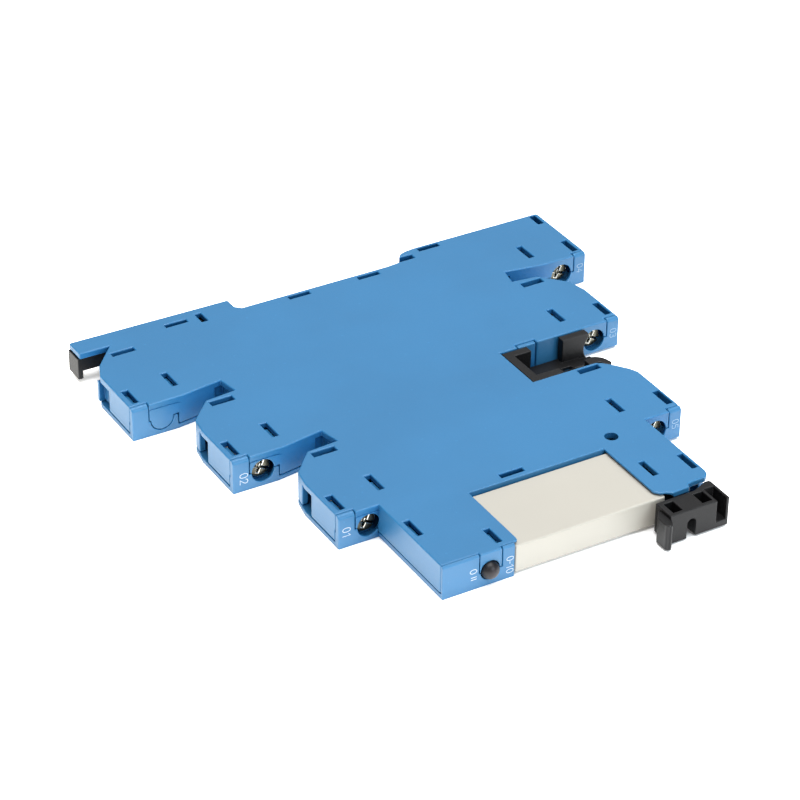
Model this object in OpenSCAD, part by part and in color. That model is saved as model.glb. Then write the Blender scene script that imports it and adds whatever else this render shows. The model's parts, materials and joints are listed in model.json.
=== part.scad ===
// Slim rail-mounted interface relay: a stepped two-part housing with screw
// terminals, a sliding rail latch, a plug-in relay and its release clip.
// It lies on its broad side. Plan points are written as [u, v] in millimetres:
// u runs from the latch foot to the hook foot, v from the rail to the relay.

/* [Housing] */
// Overall thickness (one module pitch)
body_t = 6.2; // [6.2:0.05:6.5]
// Thickness of the cover's top plate
plate_t = 1.1; // [1.0:0.05:1.1]
// Thickness of the lower shell's floor
floor_t = 0.9; // [0.7:0.05:0.9]
// Width of the parting lines between the two shells
seam = 0.14; // [0.08:0.02:0.2]
// Bevel on the label tabs' upper edge
tab_bevel = 0.45; // [0.2:0.05:0.6]

/* [Terminals] */
// Radius of a screw port in the front walls
port_r = 2.05; // [1.95:0.05:2.05]
// Radius of a terminal screw's head
head_r = 1.85; // [1.6:0.05:1.9]
// Radius of a terminal screw's shank
shank_r = 1.2; // [1.0:0.05:1.25]
// Running clearance around the shank
thread_gap = 0.05; // [0.03:0.01:0.08]

/* [Relay] */
// Wall of the plug-in relay's case
case_wall = 0.45; // [0.4:0.05:0.5]
// Radius of the coil winding
coil_r = 1.85; // [1.5:0.05:1.9]

/* [Rail latch and clip] */
// How far the latch's nose reaches over the rail edge
latch_reach = 0.9; // [0.5:0.1:1.0]
// Radius of the release clip's pivot stud
pivot_r = 1.0; // [0.8:0.05:1.1]

/* [Hidden] */
$fn = 48;

blue = [0.30, 0.55, 0.80];
cream = [0.91, 0.88, 0.83];
black = [0.15, 0.14, 0.15];
zinc = [0.78, 0.77, 0.72];
brassy = [0.80, 0.64, 0.32];
copper = [0.72, 0.40, 0.22];

// The plan's centre, so that the origin is under the middle of the box
u0 = 47.1;
v0 = 47.15;
function P(p) = [p[0] - u0, v0 - p[1]];
function xy(l) = [for (p = l) P(p)];

// Solid with the plan outline l between two heights
module pl(l, a, b) translate([0, 0, a]) linear_extrude(b - a) polygon(xy(l));
// Box from plan limits and heights
module bx(ua, ub, va, vb, a, b)
  translate([ua - u0, v0 - vb, a]) cube([ub - ua, vb - va, b - a]);
// Rods along v, along u and upright
module rod_v(u, va, vb, z, r)
  translate([u - u0, v0 - vb, z]) rotate([-90, 0, 0]) cylinder(h = vb - va, r = r);
module rod_u(ua, ub, v, z, r)
  translate([ua - u0, v0 - v, z]) rotate([0, 90, 0]) cylinder(h = ub - ua, r = r);
module rod_z(u, v, a, b, r) translate([u - u0, v0 - v, a]) cylinder(h = b - a, r = r);

zp = body_t - plate_t;      // underside of the cover plate
zf = floor_t;               // top of the floor
zs = 2.95;                  // height of the screw axes
zk = floor_t + seam;        // lower edge of the cover's side walls

// One terminal tier: outer face u, front face v, inward direction along u,
// width of its label tab, screw axis and end of the split front wall from the
// outer face
tiers = [
  [0.2, 24.45, 1, 3.0, 5.5, 8.45],            // blank
  [7.4, 46.35, 1, 3.0, 5.5, 8.45],            // a2
  [14.6, 68.15, 1, 3.0, 5.5, 7.3 - seam],     // a1
  [94.2, 17.15, -1, 2.4, 5.1, 8.05],          // 12
  [86.9, 38.85, -1, 2.4, 5.05, 8.0],          // 11
  [79.75, 68.15, -1, 2.4, 5.05, 7.35 - seam]];  // 14
tab_d = 0.95;
function su(t) = t[0] + t[2] * t[4];
function wi(t) = t[5];
// Box in a tier: a..b inward from the outer face, va..vb behind the front face
module tier_bx(t, a, b, va, vb, za, zb)
  bx(min(t[0] + t[2] * a, t[0] + t[2] * b), max(t[0] + t[2] * a, t[0] + t[2] * b),
     t[1] - vb, t[1] - va, za, zb);

// Outline of the cover's plate and side walls
cover_outline = [
  [0.2, 0.05], [30.4, 0.5], [30.5, 3.1], [31.4, 4.0], [60.5, 4.0],
  [63.6, 3.7], [66.5, 3.7], [66.5, 2.4], [64.0, 2.3], [64.8, 1.3],
  [66.0, 0.85], [67.5, 0.7], [94.0, 0.7],
  [94.2, 0.95], [94.2, 16.2 - seam], [91.8 - seam, 16.2 - seam], [91.8 - seam, 17.15], [85.35, 17.15],
  [77.9, 15.95], [77.2, 19.4], [81.85, 19.95], [86.05, 24.5], [86.9, 28.0],
  [86.9, 37.9 - seam], [84.5 - seam, 37.9 - seam], [84.5 - seam, 38.85],
  [70.0, 38.85], [70.0, 37.85], [66.1, 37.85], [66.1, 38.85],
  [62.6, 38.85], [62.6, 49.3], [74.8, 49.3], [76.2, 50.2], [77.4, 51.45],
  [79.1, 53.7], [79.75, 55.2],
  [79.75, 67.2 - seam], [77.35 - seam, 67.2 - seam], [77.35 - seam, 68.15],
  [72.4, 68.15], [72.4, 85.3], [72.1, 86.2], [71.3, 86.9], [69.0, 86.95],
  [67.75, 87.15], [67.5, 87.95], [64.1, 88.05], [63.2, 87.35],
  [62.4, 87.2], [61.6, 86.2], [61.6, 72.2], [36.0, 72.2], [36.0, 86.1],
  [35.85, 86.8], [35.4, 87.15 - seam],
  [32.65, 87.15 - seam], [32.65, 87.65], [28.65, 87.65],
  [28.65, 87.15 - seam], [21.9, 87.15 - seam], [21.9, 68.15],
  [17.6 + seam, 68.15], [17.6 + seam, 67.2 - seam], [14.6, 67.2 - seam],
  [14.6, 57.2], [15.25, 53.7], [19.45, 49.2], [25.2, 48.8], [24.4, 45.0],
  [15.85, 46.35], [10.4 + seam, 46.35], [10.4 + seam, 45.4 - seam],
  [7.4, 45.4 - seam], [7.4, 35.5], [8.0, 32.0], [12.2, 27.55], [17.85, 27.1],
  [17.2, 23.25], [8.65, 24.45], [3.2 + seam, 24.45], [3.2 + seam, 23.5 - seam],
  [0.2, 23.5 - seam], [0.2, 12.3], [1.6, 9.1], [5.75, 4.3], [0.2, 4.2]];

// Outline of the lower shell's floor
floor_outline = [
  [6.0, 0.2], [30.4, 0.5], [30.5, 3.1], [31.4, 4.0], [60.5, 4.0],
  [63.6, 3.7], [66.5, 3.7], [66.5, 2.4], [64.0, 2.3], [64.8, 1.3],
  [66.0, 0.85], [67.5, 0.7], [94.0, 0.7], [94.2, 0.95], [94.2, 17.15], [85.35, 17.15],
  [77.9, 15.95], [77.2, 19.4], [81.85, 19.95], [86.05, 24.5], [86.9, 28.0],
  [86.9, 38.85], [76.4, 38.85], [75.4, 49.3], [76.2, 50.2], [77.4, 51.45],
  [79.1, 53.7], [79.75, 55.2],
  [79.75, 68.15], [72.4, 68.15], [72.4, 85.3], [72.1, 86.2], [71.3, 86.9],
  [69.0, 86.95], [67.75, 87.15], [67.5, 87.95], [64.1, 88.05], [63.2, 87.35],
  [62.4, 87.2], [61.6, 86.2], [61.6, 73.6], [37.2, 73.6],
  [36.6, 85.2], [35.2, 86.6], [34.95, 87.65], [21.9, 87.65], [21.9, 68.15],
  [14.6, 68.15], [14.6, 57.2], [15.25, 53.7], [19.45, 49.2], [25.2, 48.8],
  [24.4, 45.0], [15.85, 46.35], [7.4, 46.35], [7.4, 35.5], [8.0, 32.0],
  [12.2, 27.55], [17.85, 27.1], [17.2, 23.25], [8.65, 24.45], [0.2, 24.45],
  [0.2, 12.3], [1.6, 9.1], [6.0, 4.0]];

// Hollow inside the cover
hollow = [
  [6.6, 5.3], [60.4, 5.3], [64.0, 4.95], [67.6, 4.95], [69.0, 3.2], [92.7, 3.2],
  [92.7, 16.0], [85.2, 16.0], [76.9, 14.8], [76.0, 20.3], [81.4, 20.95],
  [85.1, 25.0], [85.6, 28.2], [85.6, 37.75], [70.1, 37.75], [70.1, 36.8],
  [66.0, 36.8], [66.0, 37.75], [61.5, 37.75], [61.5, 50.4], [74.3, 50.4],
  [78.0, 54.3], [78.55, 57.4], [78.55, 67.05], [71.4, 67.05], [71.4, 84.3],
  [71.4, 88.6], [61.5, 88.6], [61.5, 71.1], [34.0, 71.1], [34.0, 86.1], [22.95, 86.1],
  [22.95, 67.05], [15.65, 67.05], [15.65, 57.4], [16.2, 54.2], [20.0, 50.05],
  [26.3, 49.4], [25.4, 43.9], [15.9, 45.25], [8.45, 45.25], [8.45, 35.6],
  [9.0, 32.5], [12.7, 28.35], [19.0, 27.75], [18.1, 22.1], [8.7, 23.35],
  [1.25, 23.35], [1.25, 12.5], [2.5, 9.6]];

// Snap windows in the cover plate: [u from, u to, v from, v to]
windows = [
  [17.0, 21.1, 2.7, 3.6], [23.2, 24.3, 2.1, 4.9], [4.9, 9.1, 6.6, 7.6],
  [40.1, 44.2, 4.6, 5.6], [54.0, 58.2, 4.6, 5.6], [68.4, 72.6, 1.1, 2.1],
  [92.4, 93.5, 1.1, 4.2], [92.4, 93.5, 11.6, 15.6], [84.3, 85.3, 9.5, 13.8],
  [78.0, 82.1, 20.8, 22.1], [77.1, 78.2, 30.8, 35.1], [85.3, 86.4, 32.8, 36.9],
  [70.9, 75.0, 49.9, 51.1], [70.0, 71.0, 60.0, 64.2], [78.2, 79.35, 61.8, 66.0],
  [64.2, 65.2, 78.2, 82.5], [70.9, 71.9, 79.5, 83.8], [42.8, 47.1, 70.1, 71.1],
  [32.6, 33.6, 82.0, 85.9], [22.9, 23.9, 74.0, 78.3], [23.9, 25.0, 60.0, 64.4],
  [15.6, 16.8, 62.0, 66.2], [19.7, 23.9, 49.95, 51.2], [16.6, 17.7, 38.4, 42.7],
  [8.4, 9.6, 40.2, 44.4], [12.4, 16.6, 28.3, 29.6], [9.4, 10.4, 16.6, 20.9],
  [1.2, 2.3, 18.4, 22.5]];
// Snap posts of the lower shell that stand under some of those windows
posts = [
  [5.6, 9.0, 6.6, 7.7], [40.2, 44.1, 5.35, 6.0], [54.1, 58.1, 5.35, 6.0],
  [78.1, 81.3, 21.2, 22.2], [71.0, 74.2, 50.5, 51.2], [19.8, 23.8, 50.3, 51.3],
  [12.9, 16.5, 28.5, 29.7], [24.0, 25.15, 60.3, 64.3], [9.5, 10.55, 16.4, 20.8],
  [16.7, 17.85, 38.5, 42.6], [84.4, 85.45, 9.3, 13.7], [70.1, 71.15, 60.3, 64.1],
  [77.2, 78.35, 31.0, 35.0], [23.05, 24.05, 73.8, 78.2], [32.7, 33.75, 81.8, 85.2],
  [1.4, 2.45, 18.2, 22.4], [8.6, 9.75, 40.0, 44.3], [15.8, 16.95, 61.8, 66.1]];

// Relay box and its socket
ra = 35.2; rb = 63.2; rv0 = 72.5; rv1 = 87.5; rz0 = 0.5; rz1 = 5.5;
pins_out = [55.1, 57.5, 59.9];
pins_coil = [38.6, 42.6];
// Places inside the relay are counted from a case end at u = 36.1
module in_relay() translate([ra - 36.1, 0, 0]) children();
// Indicator axis
led_u = 30.5; led_z = 2.8; led_r = 1.6;
// Pivot of the release clip
cp = [66.2, 71.5];

module port(t, r) rod_v(su(t), t[1] - 1.6, t[1] + 0.02, zs, r);
// Wider room for the head behind the port's thin lip
module head_room(t) rod_v(su(t), t[1] - 1.6, t[1] - 0.35, zs, port_r + 0.4);

module lower_shell() color(blue) difference() {
  union() {
    pl(floor_outline, 0, zf);
    for (t = tiers) {
      // label tab with a bevelled upper edge
      difference() {
        tier_bx(t, 0, t[3], 0, tab_d, 0, body_t);
        translate([0, v0 - t[1], body_t]) rotate([45, 0, 0])
          cube([400, tab_bevel * sqrt(2), tab_bevel * sqrt(2)], center = true);
      }
      tier_bx(t, 0, wi(t), 0, 1.1, 0, zs - seam / 2);
    }
    // front wall of the indicator block
    bx(21.9, 34.95, 87.15, 87.65, 0, body_t);
    for (p = posts) bx(p[0], p[1], p[2], p[3], 0, zp - 0.1);
    // snap arm in the notch, pivot stud, rib behind the board
    bx(66.3, 69.8, 37.95, 38.8, 0, body_t - 0.15);
    rod_z(cp[0], cp[1], 0, zp - 0.15, pivot_r);
    bx(48.2, 49.0, 30.5, 62.0, 0, 3.4);
    bx(27.5, 46.5, 27.8, 28.8, 0, 3.4);
  }
  for (i = [0 : 5]) port(tiers[i], i == 0 ? port_r + 0.12 : port_r);
  for (i = [1 : 5]) head_room(tiers[i]);
  // room for the cover's tongue and the indicator
  bx(28.65 - seam, 32.65 + seam, 87.0, 88, led_z - seam, body_t + 1);
  rod_v(led_u, 85.0, 88.5, led_z, led_r + 0.12);
  // upper bevel of the indicator block's front edge
  translate([0, v0 - 87.65, body_t]) rotate([45, 0, 0])
    translate([28.5 - u0, 0, 0]) cube([16, 0.4, 0.4], center = true);
  // lower bevel of the two inner output tiers' front edge
  for (t = [tiers[4], tiers[5]])
    translate([t[0] - wi(t) - 0.3 - u0, v0 - t[1], 0]) rotate([90, 0, 90])
      linear_extrude(12) polygon([[-1, -1], [0.8 + 0.8 / 0.45, -1], [0, 0.45], [-1, 0.45]]);
  // the relay lies in a thinner floor beside the bay
  bx(35.0, 64.4, 72.3, 89, 0.45, 1.5);
  rod_z(64.7, 69.7, -1, 0.4, 1.15);
}

module cover() color(blue) difference() {
  union() {
    difference() {
      pl(cover_outline, zk, body_t);
      pl(hollow, 0, zp);
      for (t = tiers) {
        // the lower half of each split front wall belongs to the other shell
        tier_bx(t, -1, wi(t) + seam, -1, 1.3, 0, zs + seam / 2);
        // wire entry
        tier_bx(t, -1, 1.8, 8.95, 12.35, 1.0, 5.0);
      }
      // the plate's edge stands back a little over the input tiers' fronts
      for (i = [0 : 2])
        tier_bx(tiers[i], tiers[i][3], wi(tiers[i]) + (i == 2 ? seam : 1.5), -1, 0.12, zp, body_t + 1);
    }
    // jamb behind the blank tier's wire entry
    bx(0.02, 1.2, 11.3, 12.1, zk, 5.0);
    // closed wire entry and closed port of the blank tier
    bx(1.1, 1.9, 11.8, 16.2, zk, zp + 0.2);
    rod_v(su(tiers[0]), tiers[0][1] - 1.05, tiers[0][1], zs, port_r);
  }
  for (i = [1 : 5]) { port(tiers[i], port_r); head_room(tiers[i]); }
  for (w = windows) bx(w[0], w[1], w[2], w[3], zp - 0.5, body_t + 1);
  rod_z(64.7, 69.7, zp - 1, body_t + 1, 1.15);
  // latch channel and the open end of the latch foot
  bx(-1, 32, 1.15, 3.7, 0, zp);
  bx(-1, 5.9, -1, 4.6, 0, zp);
  // relay bay, its roof under the side block and the clip's way out
  bx(35.05, 64.4, 72.2, 89, 0, 5.75);
  bx(64.0, 73, 85.0, 89, 0, zp);
  for (u = concat(pins_out, pins_coil)) bx(u - 0.55, u + 0.55, 70, 73, 2.2, 3.7);
  // indicator port and the tongue's sides
  rod_v(led_u, 85.0, 89, led_z, led_r + 0.12);
  bx(led_u - led_r - 0.12, led_u + led_r + 0.12, 85.0, 89, 0, led_z);
  bx(28.15, 33.15, 87.15 - seam, 89, 0, led_z);
  // contact windows at the inner ends of the link slots
  for (s = [[16.9, 24.15], [24.1, 45.9], [76.0, 16.6]])
    bx(s[0], s[0] + 2.2, s[1], s[1] + 1.9, 2.0, 4.0);
  // wider mouths around those windows
  for (m = [[[16.0, 22.9], [17.75, 22.9], [18.35, 26.5], [16.0, 26.5]],
            [[23.2, 44.65], [24.95, 44.65], [25.7, 48.2], [23.2, 48.2]],
            [[78.8, 15.55], [77.4, 15.55], [76.75, 18.9], [78.8, 18.9]]])
    pl(m, 1.3, zp);
}

module rail_latch() color(black) difference() {
  union() {
    pl([[5.8, 1.3], [30.9, 1.3], [31.4 + latch_reach, 2.05],
        [31.4 + latch_reach, 2.35], [30.7, 2.35], [30.2, 3.55], [5.8, 3.55]], 1.05, zp - 0.15);
    bx(0.9, 5.85, 1.3, 3.9, 2.4, zp - 0.15);
    bx(5.7, 6.2, 1.3, 3.55, 2.4, zp - 0.15);
    // end stop that a screwdriver pulls at
    bx(0, 0.95, 0, 3.9, 0.9, zp - 0.15);
  }
  // spring loop cut in the bar
  bx(10.0, 16.0, 2.1, 2.8, 0, 6);
  bx(24.4, 28.6, 2.0, 2.9, 0, 6);
}

module release_clip() color(black) difference() {
  union() {
    // head
    bx(60.6, 71.9, 88.45, 92.8, 0.3, 5.6);
    pl([[67.6, 88.6], [69.4, 87.85], [70.9, 87.2], [71.6, 87.2], [71.9, 87.6],
        [71.9, 88.6]], 1.2, 5.6);
    // thumb ridge at the head's corner
    pl([[60.7, 89.7], [60.4, 89.7], [59.1, 91.3], [59.05, 93.6], [59.3, 94.1],
        [59.9, 94.3], [60.25, 93.9], [60.7, 92.9]], 0.3, 5.0);
    // arm, boss and toe
    bx(65.2, 67.2, 71.5, 88.8, 1.4, 4.8);
    rod_z(cp[0], cp[1], 1.2, 4.85, 1.85);
    pl([[61.7, 70.95], [62.1, 70.75], [66.2, 70.75], [66.2, 72.3], [62.0, 72.3],
        [61.7, 72.05]], 1.4, 4.6);
  }
  rod_z(cp[0], cp[1], 0, 6, pivot_r + 0.06);
  // square sockets in the top
  bx(61.6, 63.3, 89.3, 92.0, 1.2, 6);
  bx(67.2, 69.0, 89.3, 92.0, 1.2, 6);
  // marker pocket, open at the front
  bx(69.55, 71.4, 88.95, 94, 1.5, 6);
  // slot in the front, open below
  bx(63.9, 65.6, 89.4, 94, 0, 3.0);
  rod_v(64.75, 89.4, 94, 3.0, 0.85);
}

module link_plug() color(black) difference() {
  union() {
    // tray
    bx(62.75, 75.4, 39.0, 49.15, zf + 0.02, 1.6);
    bx(62.75, 64.45, 39.0, 49.15, zf + 0.02, 6.0);
    bx(62.75, 68.9, 47.45, 49.15, zf + 0.02, 6.0);
    bx(62.75, 67.8, 39.0, 40.6, zf + 0.02, 6.0);
    // stepped ledge and the wing above it
    bx(75.3, 77.5, 39.0, 43.0, zf + 0.02, 1.6);
    bx(77.4, 79.9, 39.0, 43.0, zf + 0.02, 1.35);
    bx(74.2, 79.5, 39.0, 40.5, zf + 0.02, 6.0);
    // finger with a hooked tip on its post
    bx(74.0, 75.4, 47.45, 49.15, zf + 0.02, 6.0);
    pl([[74.6, 47.45], [75.6, 47.2], [76.4, 47.5], [77.1, 48.2], [77.5, 49.0],
        [77.8, 50.2], [77.4, 50.7], [76.75, 50.5], [76.4, 50.0], [76.15, 49.5],
        [75.7, 49.15], [74.6, 49.15]], 3.6, 6.0);
  }
  // room for a screwdriver at the next port, slot in the tray
  rod_v(su(tiers[4]), 38.5, 40.7, zs, 3.2);
  bx(73.2, 75.0, 42.1, 42.9, 0, 2);
}

// Indicator: flange, barrel and domed lens
module indicator_led() color([0.20, 0.19, 0.18])
  translate([led_u - u0, v0 - 82.0, led_z]) rotate([90, 0, 0]) rotate_extrude()
    polygon(concat([[0, 0], [led_r + 0.2, 0], [led_r + 0.2, 0.7], [led_r, 0.7]],
      [for (a = [0 : 9 : 90]) [led_r * cos(a), 5.4 + led_r * sin(a)]]));

module led_leads() color(zinc)
  for (u = [led_u - 0.64, led_u + 0.64]) rod_v(u, 62.5, 82.0, 2.16, 0.24);

module circuit_board() color([0.12, 0.35, 0.20]) difference() {
  bx(27.0, 47.0, 30.0, 64.0, zf, 1.9);
  rod_z(28.6, 32.0, 0, 3, 0.6);
  rod_z(45.4, 62.4, 0, 3, 0.6);
}

module bridge_rectifier() color([0.13, 0.13, 0.14]) {
  bx(31.0, 36.0, 40.5, 45.5, 2.05, 4.6);
  for (u = [31.6, 35.0]) for (v = [39.6, 45.4])
    bx(u, u + 0.5, v, v + 1.0, 1.9, 2.6);
}

module series_resistor() color([0.62, 0.74, 0.80]) {
  rod_u(31.0, 37.0, 51.5, 3.1, 1.1);
  rod_u(29.0, 39.0, 51.5, 3.1, 0.28);
}

module surge_capacitor() color([0.75, 0.45, 0.16]) {
  bx(40.0, 45.5, 36.0, 39.0, 1.9, 4.8);
}

module freewheel_diode() color([0.16, 0.16, 0.17]) {
  rod_u(39.6, 43.6, 56.5, 3.0, 0.95);
  rod_u(38.0, 45.2, 56.5, 3.0, 0.26);
}

// Terminal screw: shank against the strip, cross and slot in the head
module terminal_screw(t) color(zinc) difference() {
  union() {
    rod_v(su(t), t[1] - 8.05, t[1] - 2.9, zs, shank_r);
    rod_v(su(t), t[1] - 3.0, t[1] - 1.3, zs, head_r);
  }
  translate([su(t) - u0, v0 - (t[1] - 1.3), zs]) rotate([0, 25, 0]) {
    cube([2 * head_r + 1, 1.2, 0.42], center = true);
    cube([0.42, 2.0, 2.2], center = true);
  }
}

// Rising cage around the strip and the wire space
module clamp_cage(t) color(zinc) difference() {
  bx(su(t) - 2.1, su(t) + 2.1, t[1] - 13.3, t[1] - 4.8, 1.05, 4.85);
  bx(su(t) - 3, su(t) + 3, t[1] - 12.4, t[1] - 6.1, 1.6, 4.3);
  rod_v(su(t), t[1] - 7, t[1] - 4, zs, shank_r + thread_gap);
}

module strip(t, ua, ub) bx(ua, ub, t[1] - 8.9, t[1] - 8.1, 1.9, 4.0);
// Socket fork for a relay pin
module fork(u) difference() {
  bx(u - 0.8, u + 0.8, 66.5, 70.4, 2.0, 4.0);
  bx(u - 0.32, u + 0.32, 67.0, 71, 1, 5);
}
// Output strip from its tier to the relay socket
module out_conductor(t, u) color(brassy) {
  strip(t, u - 0.4, su(t) + 2.2);
  bx(u - 0.4, u + 0.4, t[1] - 8.9, 66.6, 1.9, 4.0);
  fork(u);
}
module conductor_a1() color(brassy) strip(tiers[2], 17.9, 29.0);
module conductor_a2() color(brassy) strip(tiers[1], 10.7, 29.0);
module coil_contact(u) color(brassy) {
  fork(u);
  bx(u - 0.4, u + 0.4, 60.5, 66.6, 1.9, 3.0);
}

module relay_case() color(cream) difference() {
  bx(ra, rb, rv0, rv1, rz0, rz1);
  bx(ra + case_wall, rb - case_wall, rv0 - 1, rv1 - case_wall, rz0 + case_wall, rz1 - case_wall);
}

module relay_base() color([0.22, 0.22, 0.24]) difference() {
  bx(ra + 0.5, rb - 0.5, rv0, 74.0, rz0 + 0.5, rz1 - 0.5);
  for (u = pins_out) bx(u - 0.3, u + 0.3, 72, 75, 2.3, 3.6);
  for (u = pins_coil) bx(u - 0.3, u + 0.3, 72, 75, 2.3, 3.6);
}

module coil_bobbin() in_relay() color([0.86, 0.86, 0.82]) difference() {
  union() {
    bx(38.4, 39.0, 75.7, 80.3, 1.15, 4.95);
    bx(52.0, 52.6, 75.7, 80.3, 1.15, 4.95);
    rod_u(38.5, 52.5, 78.0, 3.1, 0.95);
  }
  rod_u(38, 53, 78.0, 3.1, 0.78);
}

module coil_winding() in_relay() color(copper) difference() {
  rod_u(39.05, 51.95, 78.0, 3.1, coil_r);
  rod_u(39, 52, 78.0, 3.1, 0.97);
}

module coil_core() in_relay() color([0.60, 0.60, 0.60]) {
  rod_u(37.2, 52.9, 78.0, 3.1, 0.75);
  rod_u(52.65, 53.0, 78.0, 3.1, 1.3);
}

module coil_yoke() in_relay() color([0.55, 0.55, 0.56]) difference() {
  union() {
    bx(37.2, 38.2, 76.0, 82.2, 1.6, 4.6);
    bx(37.2, 53.3, 81.2, 82.2, 1.6, 4.6);
  }
  rod_u(37, 39, 78.0, 3.1, 0.77);
}

module armature() in_relay() color([0.58, 0.58, 0.59])
  bx(53.6, 54.5, 75.9, 86.0, 1.5, 4.7);

module actuator_card() in_relay() color([0.85, 0.84, 0.80]) difference() {
  bx(54.65, 58.25, 84.6, 85.8, 1.6, 4.6);
  bx(55.4, 57.4, 84, 86, 2.6, 3.6);
}

module moving_blade() in_relay() color(brassy) difference() {
  bx(58.3, 58.5, 74.8, 86.2, 2.0, 4.2);
  rod_u(58, 59, 82.6, 3.1, 0.42);
}

module moving_contact() in_relay() color(zinc) {
  rod_u(57.8, 58.3, 82.6, 3.1, 0.85);
  rod_u(58.25, 58.55, 82.6, 3.1, 0.4);
  rod_u(58.5, 58.95, 82.6, 3.1, 0.85);
}

module nc_terminal() in_relay() color(brassy)
  pl([[55.8, 68.0], [56.2, 68.0], [56.2, 75.2], [57.3, 76.4], [57.3, 83.9],
      [57.0, 83.9], [57.0, 76.5], [55.8, 75.3]], 2.4, 3.5);

module nc_contact() in_relay() color(zinc) rod_u(57.3, 57.76, 82.6, 3.1, 0.85);

module no_terminal() in_relay() color(brassy)
  pl([[60.6, 68.0], [61.0, 68.0], [61.0, 75.3], [59.8, 76.5], [59.8, 83.9],
      [59.5, 83.9], [59.5, 76.4], [60.6, 75.2]], 2.4, 3.5);

module no_contact() in_relay() color(zinc) rod_u(59.25, 59.5, 82.6, 3.1, 0.85);

module common_terminal() in_relay() color(brassy) bx(58.2, 58.6, 68.0, 74.7, 2.4, 3.5);

module coil_pins() color(zinc)
  for (u = pins_coil) bx(u - 0.2, u + 0.2, 68.0, 75.4, 2.4, 3.5);

lower_shell();
cover();
rail_latch();
release_clip();
link_plug();
indicator_led();
led_leads();
circuit_board();
bridge_rectifier();
series_resistor();
surge_capacitor();
freewheel_diode();
terminal_screw(tiers[2]);  // terminal_screw_a1
terminal_screw(tiers[1]);  // terminal_screw_a2
terminal_screw(tiers[4]);  // terminal_screw_11
terminal_screw(tiers[3]);  // terminal_screw_12
terminal_screw(tiers[5]);  // terminal_screw_14
clamp_cage(tiers[2]);  // clamp_cage_a1
clamp_cage(tiers[1]);  // clamp_cage_a2
clamp_cage(tiers[4]);  // clamp_cage_11
clamp_cage(tiers[3]);  // clamp_cage_12
clamp_cage(tiers[5]);  // clamp_cage_14
conductor_a1();
conductor_a2();
out_conductor(tiers[4], pins_out[1]);  // conductor_11
out_conductor(tiers[3], pins_out[0]);  // conductor_12
out_conductor(tiers[5], pins_out[2]);  // conductor_14
coil_contact(pins_coil[0]);  // coil_contact_1
coil_contact(pins_coil[1]);  // coil_contact_2
relay_case();
relay_base();
coil_bobbin();
coil_winding();
coil_core();
coil_yoke();
armature();
actuator_card();
moving_blade();
moving_contact();
nc_terminal();
nc_contact();
no_terminal();
no_contact();
common_terminal();
coil_pins();
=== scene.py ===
import json
import math

import bmesh
import bpy
from mathutils import Matrix, Vector
from mathutils.geometry import delaunay_2d_cdt


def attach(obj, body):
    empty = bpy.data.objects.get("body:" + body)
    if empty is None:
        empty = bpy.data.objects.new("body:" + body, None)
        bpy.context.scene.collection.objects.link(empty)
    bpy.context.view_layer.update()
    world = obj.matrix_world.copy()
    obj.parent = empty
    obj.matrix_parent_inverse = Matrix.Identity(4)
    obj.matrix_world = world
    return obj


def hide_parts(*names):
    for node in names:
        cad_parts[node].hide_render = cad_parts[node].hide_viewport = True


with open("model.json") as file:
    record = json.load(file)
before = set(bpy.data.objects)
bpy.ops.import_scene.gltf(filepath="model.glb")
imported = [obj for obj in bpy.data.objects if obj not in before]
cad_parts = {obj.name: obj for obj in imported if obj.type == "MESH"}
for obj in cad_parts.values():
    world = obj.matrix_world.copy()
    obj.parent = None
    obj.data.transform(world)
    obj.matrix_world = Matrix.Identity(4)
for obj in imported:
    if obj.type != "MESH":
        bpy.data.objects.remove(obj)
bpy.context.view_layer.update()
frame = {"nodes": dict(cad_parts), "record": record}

NODE = frame["nodes"]
BODY_OF = {n: b for b, ns in frame["record"]["behaviour"]["bodies"].items() for n in ns}
SLOT_OF = {s["node"]: s["material_slot"] for s in frame["record"]["subparts"]}
MM = 0.001

# ---------------------------------------------------------------- plan helpers
# Plan points are [u, v] in millimetres, as in the part's own drawing.
U0, V0 = 47.1, 47.15


def W(u, v, z):
    return Vector(((u - U0) * MM, (V0 - v) * MM, z * MM))


def link(ob):
    bpy.context.scene.collection.objects.link(ob)
    return ob


# ---------------------------------------------------------------- materials
def lin(r, g, b):
    def f(c):
        c /= 255
        return c / 12.92 if c <= 0.04045 else ((c + 0.055) / 1.055) ** 2.4
    return (f(r), f(g), f(b), 1.0)


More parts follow.
